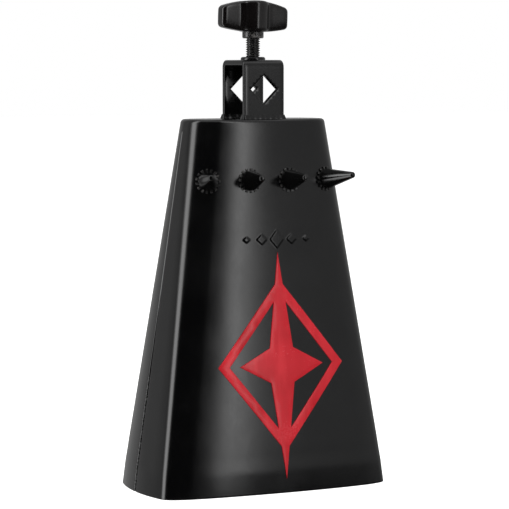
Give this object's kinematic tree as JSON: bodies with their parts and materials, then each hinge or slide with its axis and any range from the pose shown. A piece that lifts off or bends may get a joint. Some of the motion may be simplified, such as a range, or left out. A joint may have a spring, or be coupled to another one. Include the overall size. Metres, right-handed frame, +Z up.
{
  "type": "cowbell",
  "caption": "Folded steel cowbell with a flat-oval mouth, cone spikes across the front and a crown bracket whose wing screw clamps it on a mounting rod.",
  "frame": {"origin": "centre of the mouth plane, on the surface that the bell stands on", "axes": "+Z up from the mouth to the crown and knob, -Y the front face with the spikes, +X to the right as seen from the front"},
  "size_m": [0.1442, 0.0829, 0.2685],
  "materials": {
    "black_powder_coat": "satin",
    "red_enamel": "gloss",
    "black_oxide_steel": "satin",
    "black_gloss_metal": "gloss",
    "black_gloss_plastic": "gloss"
  },
  "bodies": {
    "bell": {"bell_shell": "black_powder_coat", "left_seam_weld": "black_powder_coat", "right_seam_weld": "black_powder_coat", "mount_bracket": "black_powder_coat", "bracket_weld_front": "black_powder_coat", "bracket_weld_rear": "black_powder_coat", "face_emblem": "red_enamel", "clamp_nut": "black_powder_coat", "spike_1": "black_gloss_metal", "spike_2": "black_gloss_metal", "spike_3": "black_gloss_metal", "spike_4": "black_gloss_metal", "lock_washer_1": "black_oxide_steel", "lock_washer_2": "black_oxide_steel", "lock_washer_3": "black_oxide_steel", "lock_washer_4": "black_oxide_steel", "spike_screw_1": "black_oxide_steel", "spike_screw_2": "black_oxide_steel", "spike_screw_3": "black_oxide_steel", "spike_screw_4": "black_oxide_steel"},
    "clamp_foot": {"thrust_pad": "black_oxide_steel"},
    "clamp_screw": {"clamp_bolt": "black_oxide_steel", "knob_ferrule": "black_oxide_steel", "wing_knob": "black_gloss_plastic"}
  },
  "joints": [
    {"name": "clamp_travel", "type": "slide", "parent": "bell", "child": "clamp_foot", "axis": [0, 0, 1], "range_m": [-0.01, 0.0008]},
    {"name": "clamp_turn", "type": "hinge", "parent": "clamp_foot", "child": "clamp_screw", "pos_m": [0, 0, 0.2299], "axis": [0, 0, 1], "range_deg": [-2876, 228]}
  ],
  "couplings": [
    {"joint": "clamp_travel", "follows": "clamp_turn", "m_per_rad": 0.00019894}
  ]
}
